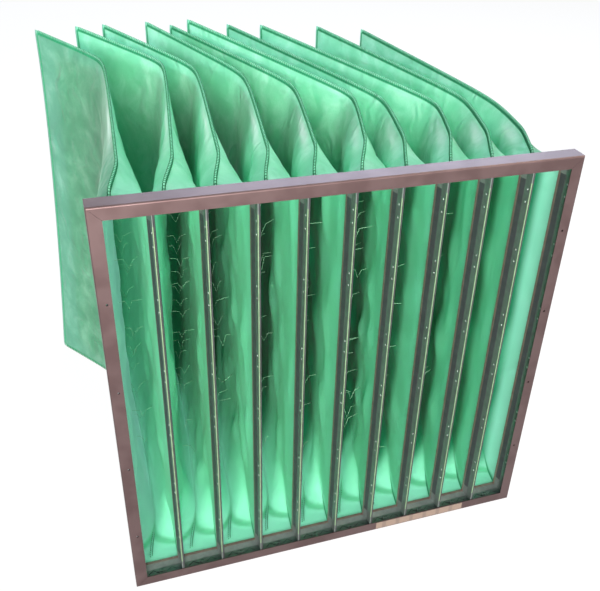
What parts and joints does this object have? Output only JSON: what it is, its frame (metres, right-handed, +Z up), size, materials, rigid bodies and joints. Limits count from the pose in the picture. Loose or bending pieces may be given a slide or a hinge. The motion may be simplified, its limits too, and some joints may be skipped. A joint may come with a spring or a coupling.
{
  "type": "bag air filter",
  "caption": "Bag air filter: sewn synthetic filter bags side by side, each held at its mouth by a crimped steel frame in a square galvanised header.",
  "frame": {"origin": "under the middle of the bottom rail, at half the header's depth, on the surface that the filter stands on", "axes": "+X to the right across the header seen from the air's inlet side, +Y in the direction of the air, from the header towards the bags' tails, +Z up along the bags' seams"},
  "size_m": [0.6737, 0.6367, 0.6303],
  "materials": {
    "galvanised_steel": "satin",
    "crimped_steel": "satin",
    "filter_media": "matte"
  },
  "bodies": {
    "root": {"top_rail": "galvanised_steel", "right_rail": "galvanised_steel", "bottom_rail": "galvanised_steel", "left_rail": "galvanised_steel", "pocket_frame_01": "crimped_steel", "pocket_frame_02": "crimped_steel", "pocket_frame_03": "crimped_steel", "pocket_frame_04": "crimped_steel", "pocket_frame_05": "crimped_steel", "pocket_frame_06": "crimped_steel", "pocket_frame_07": "crimped_steel", "pocket_frame_08": "crimped_steel", "pocket_frame_09": "crimped_steel", "pocket_frame_10": "crimped_steel", "filter_bag_01": "filter_media", "filter_bag_02": "filter_media", "filter_bag_03": "filter_media", "filter_bag_04": "filter_media", "filter_bag_05": "filter_media", "filter_bag_06": "filter_media", "filter_bag_07": "filter_media", "filter_bag_08": "filter_media", "filter_bag_09": "filter_media", "filter_bag_10": "filter_media"}
  },
  "joints": []
}
